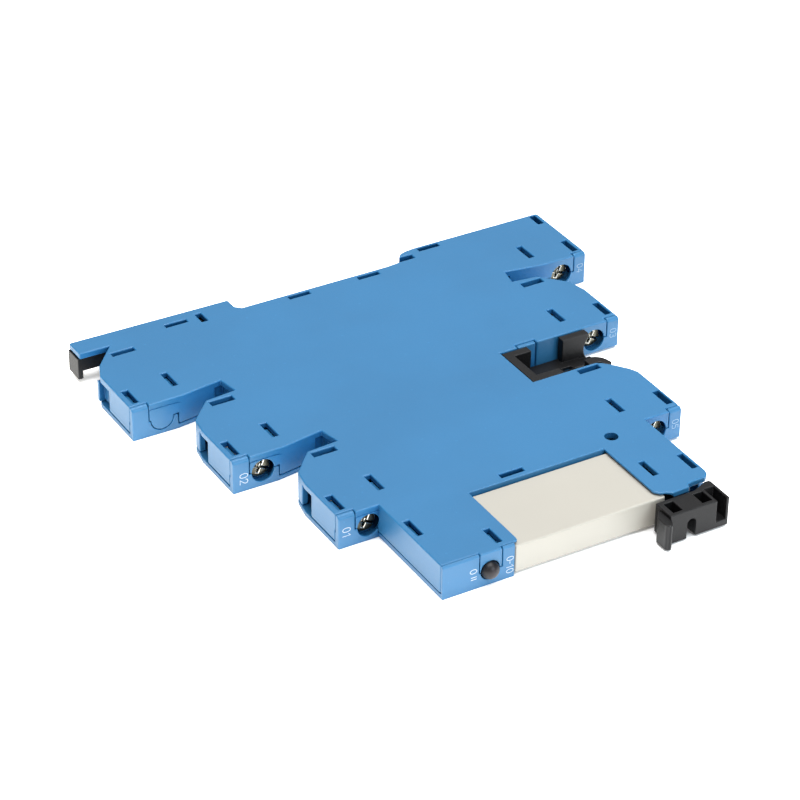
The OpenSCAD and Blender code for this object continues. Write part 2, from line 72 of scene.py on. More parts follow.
class Shader:
    """A Principled material with a few short ways to lay detail over it."""

    def __init__(self, name):
        self.m = bpy.data.materials.new(name)
        self.m.use_nodes = True
        self.nt = self.m.node_tree
        self.nt.nodes.clear()
        self.out = self.new("OutputMaterial")
        self.b = self.new("BsdfPrincipled")
        self.wire(self.b.outputs[0], self.out.inputs[0])
        self.co = self.new("TexCoord").outputs["Object"]

    def new(self, kind):
        return self.nt.nodes.new("ShaderNode" + kind)

    def wire(self, a, b):
        self.nt.links.new(a, b)

    def set(self, **kw):
        for k, v in kw.items():
            self.b.inputs[k.replace("_", " ")].default_value = v
        return self

    def stretch(self, sx, sy, sz, rot=(0, 0, 0)):
        n = self.new("Mapping")
        n.inputs["Scale"].default_value = (sx, sy, sz)
        n.inputs["Rotation"].default_value = rot
        self.wire(self.co, n.inputs["Vector"])
        return n.outputs[0]

    def noise(self, per_mm, detail=2.0, rough=0.5, co=None, distort=0.0):
        n = self.new("TexNoise")
        n.inputs["Scale"].default_value = per_mm * 1000.0
        n.inputs["Detail"].default_value = detail
        n.inputs["Roughness"].default_value = rough
        n.inputs["Distortion"].default_value = distort
        self.wire(co or self.co, n.inputs["Vector"])
        return n.outputs["Fac"]

    def cells(self, per_mm, co=None, feature="F1"):
        n = self.new("TexVoronoi")
        n.feature = feature
        n.inputs["Scale"].default_value = per_mm * 1000.0
        self.wire(co or self.co, n.inputs["Vector"])
        return n.outputs["Distance"]

    def wave(self, per_mm, co=None, kind="BANDS", axis="X", distort=0.0):
        n = self.new("TexWave")
        n.wave_type = kind
        if kind == "BANDS":
            n.bands_direction = axis
        else:
            n.rings_direction = axis
        n.inputs["Scale"].default_value = per_mm * 1000.0 / 20.0
        n.inputs["Distortion"].default_value = distort
        self.wire(co or self.co, n.inputs["Vector"])
        return n.outputs["Fac"]

    def span(self, fac, a, b, lo=0.0, hi=1.0, smooth=True):
        n = self.new("MapRange")
        n.interpolation_type = "SMOOTHSTEP" if smooth else "LINEAR"
        n.inputs["From Min"].default_value = a
        n.inputs["From Max"].default_value = b
        n.inputs["To Min"].default_value = lo
        n.inputs["To Max"].default_value = hi
        self.wire(fac, n.inputs["Value"])
        return n.outputs["Result"]

    def mix(self, fac, a, b, mode="MIX"):
        n = self.new("Mix")
        n.data_type = "RGBA"
        n.blend_type = mode
        self.wire(fac, n.inputs["Factor"])
        for sock, v in ((n.inputs[6], a), (n.inputs[7], b)):
            if isinstance(v, tuple):
                sock.default_value = v
            else:
                self.wire(v, sock)
        return n.outputs[2]

    def math(self, op, a, b):
        n = self.new("Math")
        n.operation = op
        for sock, v in zip(n.inputs, (a, b)):
            if isinstance(v, (int, float)):
                sock.default_value = v
            else:
                self.wire(v, sock)
        return n.outputs[0]

    def open_to(self, mm):
        """How open a spot is, counting only the same piece within mm."""
        n = self.new("AmbientOcclusion")
        n.samples = 3
        n.only_local = True
        n.inputs["Distance"].default_value = mm * MM
        return n.outputs["AO"]

    def colour(self, sock):
        self.wire(sock, self.b.inputs["Base Color"])
        return self

    def rough(self, sock):
        self.wire(sock, self.b.inputs["Roughness"])
        return self

    def bump(self, *layers):
        """layers: (height socket, depth in mm, strength)"""
        prev = None
        for h, depth, strength in layers:
            n = self.new("Bump")
            n.inputs["Distance"].default_value = depth * MM
            n.inputs["Strength"].default_value = strength
            self.wire(h, n.inputs["Height"])
            if prev is not None:
                self.wire(prev, n.inputs["Normal"])
            prev = n.outputs["Normal"]
        self.wire(prev, self.b.inputs["Normal"])
        return self


def scaled(c, k):
    return (c[0] * k, c[1] * k, c[2] * k, 1.0)


def moulded(name, col, rough, grain=0.02, grain_mm=0.11, ior=1.5, vary=0.05, lift=1.0, speck=0.35, painted_shade_mm=0.0):
    """Injection-moulded plastic: fine eroded grain, slow tone drift, faint flow streaks, sparse dust.
    With its last argument (a distance in mm) the code paints shade: narrow recesses are painted darker with dimmed
    reflections, and recesses up to 7 mm are painted bluer, as bounced light."""
    s = Shader(name)
    s.set(IOR=ior)
    c = scaled(col, lift)
    drift = s.noise(0.035, 3.0, 0.55)
    flow = s.noise(0.12, 4.0, 0.6, s.stretch(0.25, 1.0, 1.0, (0, 0, 0.5)), 0.6)
    grain_f = s.noise(1.0 / grain_mm, 2.0, 0.6)
    pits = s.cells(0.6 / grain_mm)
    tone = s.mix(s.span(drift, 0.3, 0.7), scaled(c, 1.0 - vary), scaled(c, 1.0 + vary))
    tone = s.mix(s.span(flow, 0.45, 0.75, 0.0, 0.30), tone, scaled(c, 1.0 + 1.6 * vary))
    tone = s.mix(s.span(grain_f, 0.25, 0.75, 0.0, 0.25), tone, scaled(c, 1.0 - 2.0 * vary))
    dust = s.noise(1.3, 1.0, 0.4)
    tone = s.mix(s.span(dust, 0.735, 0.77, 0.0, speck), tone, scaled(c, 1.35))
    if painted_shade_mm:
        near, wide = s.open_to(painted_shade_mm), s.open_to(7.0)
        # Painted bounce light: in recesses up to 7 mm across, the colour is painted bluer and deeper.
        tone = s.mix(s.span(wide, 0.45, 0.97), (c[0] * 0.80, c[1] * 1.02, c[2] * 1.25, 1.0), tone)
        # Painted shade: narrow recesses are painted dark navy.
        tone = s.mix(s.span(near, 0.33, 0.78), (c[0] * 0.16, c[1] * 0.34, c[2] * 0.47, 1.0), tone)
        # Painted shade on the gloss: reflections are turned down in the same recesses.
        gloss = s.math("MULTIPLY", s.span(near, 0.33, 0.78, 0.1, 1.0), s.span(wide, 0.45, 0.97, 0.12, 0.5))
        s.wire(gloss, s.b.inputs["Specular IOR Level"])
    s.colour(tone)
    s.rough(s.span(s.math("ADD", flow, s.math("MULTIPLY", grain_f, 0.5)), 0.4, 1.1, rough - 0.05, rough + 0.06, False))
    s.bump((flow, 0.02, 0.10), (pits, grain, 0.25), (grain_f, grain, 0.5))
    return s.m


BLUE_C = (0.0230, 0.145, 0.308, 1.0)
BLACK_C = (0.0060, 0.0058, 0.0062, 1.0)
CREAM_C = (0.406, 0.384, 0.336, 1.0)
WHITE_C = (0.62, 0.61, 0.57, 1.0)

# The blue housing paints shade into its recesses through its last argument (3.4 mm).
BLUE = moulded("housing_blue", BLUE_C, 0.40, painted_shade_mm=3.4)
# Lighter copy (lift) for the rounded edges only: a painted highlight along the edges.
BLUE_EDGE = moulded("housing_blue_painted_edge_highlight", BLUE_C, 0.36, lift=1.08, painted_shade_mm=3.4)
BLACK = moulded("black_plastic", BLACK_C, 0.44, grain=0.03, ior=1.33, vary=0.10, speck=0.9)
# Much lighter copy (lift 1.5) for the rounded edges only: a painted highlight along the edges.
BLACK_EDGE = moulded("black_plastic_painted_edge_highlight", BLACK_C, 0.36, grain=0.02, ior=1.38, vary=0.10, lift=1.5)
CREAM = moulded("relay_cream", CREAM_C, 0.46, grain=0.008, vary=0.02, speck=0.0)
# Slightly lighter copy for the rounded edges only: a painted highlight along the edges.
CREAM_EDGE = moulded("relay_cream_painted_edge_highlight", CREAM_C, 0.42, grain=0.006, vary=0.02, lift=1.04, speck=0.0)
BASE_GREY = moulded("relay_base_grey", (0.034, 0.034, 0.040, 1.0), 0.45, grain=0.02, vary=0.08)
BOBBIN = moulded("bobbin_white", WHITE_C, 0.42, grain=0.008, vary=0.03, speck=0.0)
EPOXY = moulded("component_black", (0.016, 0.016, 0.018, 1.0), 0.5, grain=0.03, grain_mm=0.07, vary=0.15)
ORANGE = moulded("capacitor_orange", (0.42, 0.115, 0.018, 1.0), 0.24, grain=0.012, grain_mm=0.4, vary=0.08, speck=0.2)
INK = moulded("label_white", (0.50, 0.56, 0.62, 1.0), 0.55, grain=0.01, grain_mm=0.08, vary=0.06, speck=0.0)
INK_WORN = moulded("label_worn", (0.26, 0.38, 0.50, 1.0), 0.55, grain=0.01, grain_mm=0.08, vary=0.10, speck=0.0)


def metal(name, dark, light, rough, streak=(1.0, 1.0, 1.0), fine=9.0, spot=0.5):
    """Plated or drawn metal: directional fine streaks, cloudy tarnish, a few stains."""
    s = Shader(name)
    s.set(Metallic=1.0)
    brush = s.noise(fine, 3.0, 0.6, s.stretch(*streak))
    cloud = s.noise(0.45, 4.0, 0.6, None, 0.8)
    stain = s.noise(1.1, 2.0, 0.5)
    tone = s.mix(s.span(cloud, 0.3, 0.7), dark, light)
    tone = s.mix(s.span(brush, 0.3, 0.75, 0.0, 0.45), tone, scaled(light, 0.8))
    tone = s.mix(s.span(stain, 0.62, 0.75, 0.0, spot), tone, scaled(dark, 0.55))
    s.colour(tone)
    s.rough(s.span(s.math("ADD", brush, cloud), 0.6, 1.4, rough - 0.07, rough + 0.10, False))
    s.bump((cloud, 0.02, 0.08), (brush, 0.006, 0.35))
    return s.m


SCREW = metal("screw_zinc", (0.065, 0.062, 0.044, 1), (0.165, 0.158, 0.120, 1), 0.30)
# Much lighter copy for the rounded edges of the screw heads: a painted highlight.
SCREW_EDGE = metal("screw_zinc_painted_edge_highlight", (0.62, 0.60, 0.52, 1), (0.86, 0.84, 0.77, 1), 0.20, spot=0.2)
CAGE = metal("cage_zinc", (0.40, 0.41, 0.42, 1), (0.62, 0.62, 0.60, 1), 0.34, (0.15, 1, 1))
BRASS = metal("strip_brass", (0.30, 0.18, 0.06, 1), (0.46, 0.30, 0.115, 1), 0.34, (1, 0.1, 1))
TINNED = metal("tinned_wire", (0.52, 0.52, 0.50, 1), (0.74, 0.74, 0.72, 1), 0.28, (1, 0.2, 1))
IRON = metal("soft_iron", (0.24, 0.24, 0.25, 1), (0.40, 0.40, 0.40, 1), 0.38, (0.2, 1, 1))
SILVER = metal("contact_silver", (0.62, 0.61, 0.58, 1), (0.84, 0.83, 0.80, 1), 0.22)


def smoked_lens(name, u, z, r):
    """Smoky resin dome: paler towards its axis, cloudy inside, polished skin."""
    s = Shader(name)
    n = s.new("Mapping")
    n.inputs["Scale"].default_value = (1.0, 0.0, 1.0)
    c = W(u, 0, z)
    n.inputs["Location"].default_value = (-c.x, 0.0, -c.z)
    s.wire(s.co, n.inputs["Vector"])
    ln = s.new("VectorMath")
    ln.operation = "LENGTH"
    s.wire(n.outputs[0], ln.inputs[0])
    haze = s.noise(0.9, 3.0, 0.6)
    # Painted light and shade: the middle of the dome is painted paler and its rim darker.
    tone = s.mix(s.span(ln.outputs["Value"], 0.15 * r * MM, 0.98 * r * MM),
                 (0.022, 0.017, 0.020, 1), (0.0045, 0.0042, 0.0058, 1))
    tone = s.mix(s.span(haze, 0.4, 0.75, 0.0, 0.35), tone, (0.030, 0.026, 0.029, 1))
    s.colour(tone)
    s.set(Coat_Weight=0.10, Coat_Roughness=0.12, IOR=1.36)
    s.rough(s.span(haze, 0.3, 0.7, 0.40, 0.52))
    s.bump((haze, 0.02, 0.15))
    return s.m


LENS = smoked_lens("lens_smoke", 30.5, 2.8, 1.6)


def solder_mask(name):
    """Green board: darker mask over square-ish copper runs, tinned pads, weave in the glass."""
    s = Shader(name)
    runs = s.cells(0.22, s.stretch(1.0, 0.6, 1.0), "DISTANCE_TO_EDGE")
    pads = s.cells(0.35)
    weave = s.math("MULTIPLY", s.wave(1.6, None, "BANDS", "X"), s.wave(1.6, None, "BANDS", "Y"))
    tone = s.mix(s.span(weave, 0.1, 0.9), (0.012, 0.088, 0.036, 1), (0.017, 0.115, 0.048, 1))
    tone = s.mix(s.span(runs, 0.045, 0.075, 1.0, 0.0), tone, (0.030, 0.20, 0.070, 1))
    tone = s.mix(s.span(pads, 0.10, 0.13, 1.0, 0.0), tone, (0.55, 0.55, 0.52, 1))
    s.colour(tone)
    s.rough(s.span(weave, 0.0, 1.0, 0.26, 0.36))
    s.bump((runs, 0.03, 0.3), (weave, 0.01, 0.2))
    return s.m


BOARD = solder_mask("board_green")


def ringed(name, base, rings, rough):
    """Lacquered rod along u with painted rings: (u, half width in mm, colour)."""
    s = Shader(name)
    sep = s.new("SeparateXYZ")
    s.wire(s.co, sep.inputs[0])
    cloud = s.noise(0.8, 3.0, 0.6)
    tone = s.mix(s.span(cloud, 0.3, 0.7), scaled(base, 0.9), scaled(base, 1.1))
    for u, half, col in rings:
        off = s.math("ABSOLUTE", s.math("SUBTRACT", sep.outputs["X"], (u - U0) * MM), 0.0)
        tone = s.mix(s.span(off, (half - 0.05) * MM, (half + 0.05) * MM, 1.0, 0.0), tone, col)
    s.colour(tone)
    s.rough(s.span(cloud, 0.3, 0.7, rough - 0.04, rough + 0.08))
    s.bump((cloud, 0.05, 0.2), (s.noise(6.0), 0.006, 0.3))
    return s.m


RESISTOR = ringed("resistor_blue", (0.165, 0.330, 0.46, 1), (
    (31.8, 0.3, (0.10, 0.035, 0.012, 1)), (33.0, 0.3, (0.006, 0.006, 0.006, 1)),
    (34.2, 0.3, (0.34, 0.02, 0.015, 1)), (35.8, 0.3, (0.36, 0.24, 0.06, 1)),
    (29.4, 1.45, (0.50, 0.50, 0.48, 1)), (38.6, 1.45, (0.50, 0.50, 0.48, 1))), 0.26)
DIODE = ringed("diode_black", (0.014, 0.014, 0.016, 1), (
    (42.9, 0.35, (0.55, 0.55, 0.54, 1)), (38.5, 0.95, (0.50, 0.50, 0.48, 1)),
    (44.6, 0.85, (0.50, 0.50, 0.48, 1))), 0.34)


def enamelled(name):
    """Layered copper wire: close turns, slightly uneven lay, lacquer over metal."""
    s = Shader(name)
    s.set(Metallic=1.0, Coat_Weight=0.6, Coat_Roughness=0.15)
    turns = s.wave(6.0, None, "BANDS", "X", 0.4)
    lay = s.noise(0.4, 3.0, 0.6)
    # Painted shade and highlight: each turn runs from dark in its groove to bright on its crest.
    tone = s.mix(turns, (0.20, 0.055, 0.020, 1), (0.58, 0.21, 0.080, 1))
    tone = s.mix(s.span(lay, 0.4, 0.7, 0.0, 0.4), tone, (0.46, 0.13, 0.045, 1))
    s.colour(tone)
    s.rough(s.span(lay, 0.3, 0.7, 0.24, 0.38))
    s.bump((turns, 0.06, 0.8))
    return s.m


WINDING = enamelled("winding_copper")


def paper_floor(name):
    s = Shader(name)
    s.set(Roughness=0.9)
    # The floor glows. Its glow is dimmed by ambient occlusion near the object: a painted shadow.
    ao = s.new("AmbientOcclusion")
    ao.samples = 8
    ao.inputs["Distance"].default_value = 0.018
    sep = s.new("SeparateXYZ")
    s.wire(s.co, sep.inputs[0])
    # The glow is raised and warmed towards -x: a painted pool of light from the left.
    side = s.span(sep.outputs["X"], -0.055, 0.03, 1.40, 0.85)
    s.wire(s.mix(s.span(sep.outputs["X"], -0.055, 0.0), (1.0, 0.96, 0.88, 1), (1.0, 1.0, 1.0, 1)), s.b.inputs["Emission Color"])
    s.wire(s.math("MULTIPLY", s.span(ao.outputs["AO"], 0.12, 0.78, 0.05, 1.15), side), s.b.inputs["Emission Strength"])
    s.colour(s.mix(s.span(s.noise(0.004, 3.0), 0.3, 0.7), (0.95, 0.95, 0.95, 1), (0.97, 0.97, 0.97, 1)))
    return s.m


FLOOR = paper_floor("floor_white")


# ---------------------------------------------------------------- rounded copies
def seg_gap(a, b, c, d):
    """Smallest distance between segments ab and cd."""
    best = 1e9
    for p, q, r in ((a, c, d), (b, c, d), (c, a, b), (d, a, b)):
        e = r - q
        l2 = e.length_squared
        t = 0.0 if l2 == 0 else max(0.0, min(1.0, (p - q).dot(e) / l2))
        best = min(best, (p - (q + e * t)).length)
    return best


def finish_normals(me, deg=32.0):
    bm = bmesh.new()
    bm.from_mesh(me)
    for f in bm.faces:
        f.smooth = True
    for e in bm.edges:
        e.smooth = not (len(e.link_faces) == 2 and e.calc_face_angle(0.0) > math.radians(deg))
    bm.to_mesh(me)
    bm.free()


def piece(name, me, body, slot, *nodes, mats=()):
    ob = link(bpy.data.objects.new(name, me))
    for m in mats:
        me.materials.append(m)
    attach(ob, body)
    if nodes:
        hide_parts(*nodes)
    return ob


def inside(x, y, segs):
    """Even-odd test of a point against outline segments."""
    hit = False
    for ax, ay, bx, by in segs:
        if (ay > y) != (by > y) and x < ax + (y - ay) / (by - ay) * (bx - ax):
            hit = not hit
    return hit


def refill(me):
    """Fill each flat region anew from its outline, so that no split crosses an edge."""
    bm = bmesh.new()
    bm.from_mesh(me)
    bm.normal_update()
    done = set()
    for f in sorted((f for f in bm.faces if f.material_index == 0), key=lambda f: (-f.calc_area(), f.index)):
        if f in done or not f.is_valid:
            continue
        n = f.normal.copy()
        d = n.dot(f.verts[0].co)
        region, stack = [], [f]
        done.add(f)
        while stack:
            g = stack.pop()
            region.append(g)
            for e in g.edges:
                for h in e.link_faces:
                    if h not in done and h.material_index == 0 and all(abs(n.dot(v.co) - d) < 2e-6 for v in h.verts):
                        done.add(h)
                        stack.append(h)
        if len(region) == 1 and len(f.verts) <= 4:
            continue
        own = set(region)
        rim = [e for g in region for e in g.edges if sum(h in own for h in e.link_faces) == 1]
        rim = sorted(set(rim), key=lambda e: e.index)
        verts = sorted({v for e in rim for v in e.verts}, key=lambda v: v.index)
        at = {v: i for i, v in enumerate(verts)}
        ex = Vector((0, 0, 1)) if abs(n.z) < 0.9 else Vector((1, 0, 0))
        ex = (ex - n * ex.dot(n)).normalized()
        ey = n.cross(ex)
        flat = [Vector((ex.dot(v.co) * 1000.0, ey.dot(v.co) * 1000.0)) for v in verts]
        ends = [(at[e.verts[0]], at[e.verts[1]]) for e in rim]
        co, _, tris, orig, _, _ = delaunay_2d_cdt(flat, ends, [], 0, 1e-5)
        segs = [(flat[i].x, flat[i].y, flat[j].x, flat[j].y) for i, j in ends]
        bmesh.ops.delete(bm, geom=region, context="FACES_ONLY")
        new = {}
        for t in tris:
            c = (co[t[0]] + co[t[1]] + co[t[2]]) / 3.0
            if not inside(c.x, c.y, segs):
                continue
            vs = []
            for i in t:
                if orig[i]:
                    vs.append(verts[orig[i][0]])
                else:
                    if i not in new:
                        new[i] = bm.verts.new((ex * co[i].x + ey * co[i].y) * MM + n * d)
                    vs.append(new[i])
            if len(set(vs)) == 3 and bm.faces.get(vs) is None:
                bm.faces.new(vs).material_index = 0
        bm.verts.index_update()
        bm.edges.index_update()
        done.update(g for g in bm.faces if g.is_valid and g.index == -1)
    bmesh.ops.delete(bm, geom=[e for e in bm.edges if not e.link_faces], context="EDGES")
    bmesh.ops.delete(bm, geom=[v for v in bm.verts if not v.link_faces], context="VERTS")
    bm.to_mesh(me)
    bm.free()


def close_up(me):
    """Join split edges to the points that lie on them, and close the hairline gaps left over."""
    bm = bmesh.new()
    bm.from_mesh(me)

    def drop_strays():
        loose = [f for f in bm.faces if not any(len(e.link_faces) == 2 for e in f.edges)]
        bmesh.ops.delete(bm, geom=loose, context="FACES")

    drop_strays()
    rim = [e for e in bm.edges if e.is_boundary]
    pts = sorted({v for e in rim for v in e.verts}, key=lambda v: v.index)
    for e in rim:
        a, b = e.verts
        d = b.co - a.co
        if d.length < 1e-9:
            continue
        on = []
        for v in pts:
            if v is a or v is b:
                continue
            t = (v.co - a.co).dot(d) / d.length_squared
            if 0.0 < t < 1.0 and (a.co + d * t - v.co).length < 4e-6:
                on.append((t, v.index, v.co.copy()))
        here = a
        for t, _, co in sorted(on, key=lambda x: x[:2]):
            f = (co - here.co).length / max((b.co - here.co).length, 1e-12)
            made, nv = bmesh.utils.edge_split(e, here, min(max(f, 1e-4), 1.0 - 1e-4))
            nv.co = co
            e = made if b in made.verts else e
            here = nv
    bmesh.ops.remove_doubles(bm, verts=[v for v in bm.verts if v.is_boundary], dist=2e-6)
    drop_strays()
    bmesh.ops.holes_fill(bm, edges=[e for e in bm.edges if e.is_boundary], sides=0)
    bmesh.ops.triangulate(bm, faces=[f for f in bm.faces if len(f.verts) > 4 or (
        len(f.verts) == 4 and f.material_index == 0)])
    # slivers that were folded flat on themselves
    twins = {}
    for f in bm.faces:
        twins.setdefault(frozenset(f.verts), []).append(f)
    folded = [f for fs in twins.values() if len(fs) == 2 for f in fs]
    bmesh.ops.delete(bm, geom=folded, context="FACES")
    bm.to_mesh(me)
    bm.free()


def set_normals(me):
    """Flat regions shade flat, rounded edges run smoothly from one to the next."""
    for p in me.polygons:
        p.use_smooth = True
    nf = [p.normal.copy() for p in me.polygons]
    area = [p.area for p in me.polygons]
    edge = [p.material_index == 1 for p in me.polygons]
    at = [[] for _ in me.vertices]
    for p in me.polygons:
        for v in p.vertices:
            at[v].append(p.index)
    near, mid = math.cos(math.radians(20)), math.cos(math.radians(50))

    def flat_at(v, f):
        t = Vector((0, 0, 0))
        for g in at[v]:
            if not edge[g] and nf[g].dot(nf[f]) > near:
                t += nf[g] * area[g]
        return t.normalized() if t.length > 0 else nf[f]

    out = [None] * len(me.loops)
    for p in me.polygons:
        f = p.index
        for li in p.loop_indices:
            v = me.loops[li].vertex_index
            if not edge[f]:
                out[li] = flat_at(v, f)
                continue
            best = max((g for g in at[v] if not edge[g]), key=lambda g: (nf[g].dot(nf[f]), -g), default=None)
            if best is not None and nf[best].dot(nf[f]) > mid:
                out[li] = flat_at(v, best)
                continue
            t = Vector((0, 0, 0))
            for g in at[v]:
                if edge[g] and nf[g].dot(nf[f]) > mid:
                    t += nf[g] * area[g]
            out[li] = t.normalized() if t.length > 0 else nf[f]
    me.normals_split_custom_set([tuple(x) for x in out])


def soften(mesh, name, width, mats, segs=3, cap=0.42, min_deg=24.0, concave=0.5):
    """A copy of a mesh with its sharp edges rounded, each as far as its neighbours leave room."""
    width *= MM
    bm = bmesh.new()
    bm.from_mesh(mesh)
    bmesh.ops.remove_doubles(bm, verts=bm.verts, dist=2e-6)
    bmesh.ops.dissolve_limit(bm, angle_limit=math.radians(0.3), use_dissolve_boundaries=False,
                             verts=bm.verts, edges=bm.edges)
    lay = bm.edges.layers.float.new("bevel_weight_edge")
    lim = math.radians(min_deg)
    sharp = {e for e in bm.edges if len(e.link_faces) == 2 and e.calc_face_angle(0.0) > lim}
    room = {}
    for e in sharp:
        r = width
        for v in e.verts:
            for o in v.link_edges:
                if o is not e and o in sharp:
                    r = min(r, cap * o.calc_length())
        a, b = e.verts[0].co, e.verts[1].co
        for f in e.link_faces:
            for o in f.edges:
                if o is e or o not in sharp or set(o.verts) & set(e.verts):
                    continue
                r = min(r, 0.45 * seg_gap(a, b, o.verts[0].co, o.verts[1].co))
        room[e] = r * (1.0 if e.is_convex else concave)
    for e, r in room.items():
        e[lay] = r / width
    me = bpy.data.meshes.new(name)
    for f in bm.faces:
        f.material_index = 0
    bm.to_mesh(me)
    bm.free()
    tmp = link(bpy.data.objects.new(name + "_tmp", me))
    for m in mats:
        me.materials.append(m)
    mod = tmp.modifiers.new("round", "BEVEL")
    mod.width = width
    mod.segments = segs
    mod.limit_method = "WEIGHT"
    mod.offset_type = "OFFSET"
    mod.use_clamp_overlap = False
    mod.loop_slide = False
    mod.material = 1 if len(mats) > 1 else -1
    bpy.context.view_layer.update()
    ev = tmp.evaluated_get(bpy.context.evaluated_depsgraph_get())
    new = bpy.data.meshes.new_from_object(ev)
    bpy.data.objects.remove(tmp)
    refill(new)
    close_up(new)
    return new


def barb(u, v0, v1, side, mats):
    """Hook at the top of a snap post, with a sloped underside."""
    bm = bmesh.new()
    sec = [(u - 0.1 * side, 3.5), (u - 0.1 * side, 4.95), (u + 1.2 * side, 4.95), (u + 1.2 * side, 4.55)]
    ends = [[bm.verts.new(W(a, v, z)) for a, z in sec] for v in (v0, v1)]
    bm.faces.new(ends[0])
    bm.faces.new(ends[1][::-1])
    for i in range(4):
        j = (i + 1) % 4
        bm.faces.new([ends[0][j], ends[0][i], ends[1][i], ends[1][j]])
    bmesh.ops.recalc_face_normals(bm, faces=bm.faces)
    me = bpy.data.meshes.new("tmp_barb")
    bm.to_mesh(me)
    bm.free()
    return soften(me, "tmp_barb", 0.10, mats)


def rounded(node, width, mats, segs=3, extra=()):
    new = soften(NODE[node].data, node, width, mats, segs)
    if extra:
        bm = bmesh.new()
        bm.from_mesh(new)
        for me in extra:
            bm.from_mesh(me)
        bm.to_mesh(new)
        bm.free()
    new.name = node + "_rounded"
    set_normals(new)
    return piece(node + "_rounded", new, BODY_OF[node], SLOT_OF[node], node)


rounded("cover", 0.26, (BLUE, BLUE_EDGE))
BARBS = [(85.45, 9.35, 13.95, 1), (78.35, 31.05, 35.25, 1), (71.15, 60.35, 64.35, 1),
         (16.7, 38.55, 42.85, -1), (24.0, 60.35, 64.55, -1)]
rounded("lower_shell", 0.20, (BLUE, BLUE_EDGE),
        extra=[barb(*b, (BLUE, BLUE_EDGE)) for b in BARBS])
rounded("release_clip", 0.18, (BLACK, BLACK_EDGE))
rounded("link_plug", 0.16, (BLACK, BLACK_EDGE))
rounded("rail_latch", 0.14, (BLACK, BLACK_EDGE))
rounded("relay_case", 0.30, (CREAM, CREAM_EDGE))

# ---------------------------------------------------------------- screws
TIER = {"a2": (7.4, 46.35, 1, 5.5), "a1": (14.6, 68.15, 1, 5.5), "12": (94.2, 17.15, -1, 5.1),
        "11": (86.9, 38.85, -1, 5.05), "14": (79.75, 68.15, -1, 5.05)}


def threaded(u, va, vb, z, r_core, r_out, pitch, around=36, per_turn=8):
    """Closed mesh of a threaded shank along v from va to vb."""
    bm = bmesh.new()
    steps = int(round((vb - va) / pitch * per_turn))
    rings = []
    for i in range(steps + 1):
        v = va + (vb - va) * i / steps
        ease = min(1.0, (v - va) / 0.5)
        ring = []
        for k in range(around):
            a = 2 * math.pi * k / around
            t = ((v - va) / pitch + k / around) % 1.0
            h = max(0.0, 1.0 - abs(t - 0.5) / 0.42)
            r = (r_core + (r_out - r_core) * h) * (0.80 + 0.20 * ease)
            ring.append(bm.verts.new(W(u + r * math.cos(a), v, z + r * math.sin(a))))
        rings.append(ring)
    for i in range(steps):
        for k in range(around):
            q = (k + 1) % around
            bm.faces.new((rings[i][k], rings[i][q], rings[i + 1][q], rings[i + 1][k]))
    bm.faces.new(rings[0][::-1])
    bm.faces.new(rings[-1])
    bmesh.ops.recalc_face_normals(bm, faces=bm.faces)
    return bm


def screw(k):
    u, front, s, off = TIER[k]
    su, node = u + s * off, "terminal_screw_" + k
    # head: the node's own head, cut from the shank, edges rounded
    bm = bmesh.new()
    bm.from_mesh(NODE[node].data)
    bmesh.ops.remove_doubles(bm, verts=bm.verts, dist=2e-6)
    cut = bmesh.ops.bisect_plane(bm, geom=bm.verts[:] + bm.edges[:] + bm.faces[:], dist=1e-7,
                                 plane_co=W(su, front - 3.0 + 0.004, 2.95), plane_no=(0, 1, 0),
                                 clear_outer=True)
    loop = [e for e in cut["geom_cut"] if isinstance(e, bmesh.types.BMEdge)]
    bmesh.ops.contextual_create(bm, geom=loop)
    bmesh.ops.recalc_face_normals(bm, faces=bm.faces)
    me = bpy.data.meshes.new(node + "_head")
    bm.to_mesh(me)
    bm.free()
    head = soften(me, node, 0.17, (SCREW, SCREW_EDGE), 3)
    th = threaded(su, front - 8.05, front - 2.9, 2.95, 0.98, 1.2, 0.5)
    both = bmesh.new()
    both.from_mesh(head)
    tm = bpy.data.meshes.new("tmp_thread")
    th.to_mesh(tm)
    th.free()
    both.from_mesh(tm)
    me = bpy.data.meshes.new(node + "_turned")
    both.to_mesh(me)
    both.free()
    finish_normals(me, 38.0)
    ob = piece(node + "_turned", me, BODY_OF[node], SLOT_OF[node], node, mats=(SCREW, SCREW_EDGE))
    return ob


for k in TIER:
    screw(k)


# ---------------------------------------------------------------- lamp
def lathe(name, profile, u, z, around=64):
    """Closed body of revolution about an axis along v; profile: (radius, v)."""
    bm = bmesh.new()
    rings = []
    for r, v in profile:
        if r < 1e-6:
            rings.append([bm.verts.new(W(u, v, z))])
        else:
            rings.append([bm.verts.new(W(u + r * math.cos(2 * math.pi * k / around), v,
                                         z + r * math.sin(2 * math.pi * k / around))) for k in range(around)])
    for p, q in zip(rings, rings[1:]):
        for k in range(around):
            j = (k + 1) % around
            vs = []
            for w in (p[k % len(p)], p[j % len(p)], q[j % len(q)], q[k % len(q)]):
                if w not in vs:
                    vs.append(w)
            bm.faces.new(vs)
    bmesh.ops.recalc_face_normals(bm, faces=bm.faces)
    me = bpy.data.meshes.new(name)
    bm.to_mesh(me)
    bm.free()
    finish_normals(me, 40.0)
    return me


LR = 1.6
dome = [(LR * math.cos(math.radians(a)), 87.4 + LR * math.sin(math.radians(a))) for a in range(0, 90, 6)]
prof = [(0, 82.0), (LR + 0.12, 82.0), (LR + 0.2, 82.08), (LR + 0.2, 82.62), (LR + 0.12, 82.7), (LR, 82.7)]
lamp = lathe("indicator_dome", prof + dome + [(0, 87.4 + LR)], 30.5, 2.8)
piece("indicator_dome", lamp, "housing", SLOT_OF["indicator_led"], "indicator_led", mats=(LENS,))

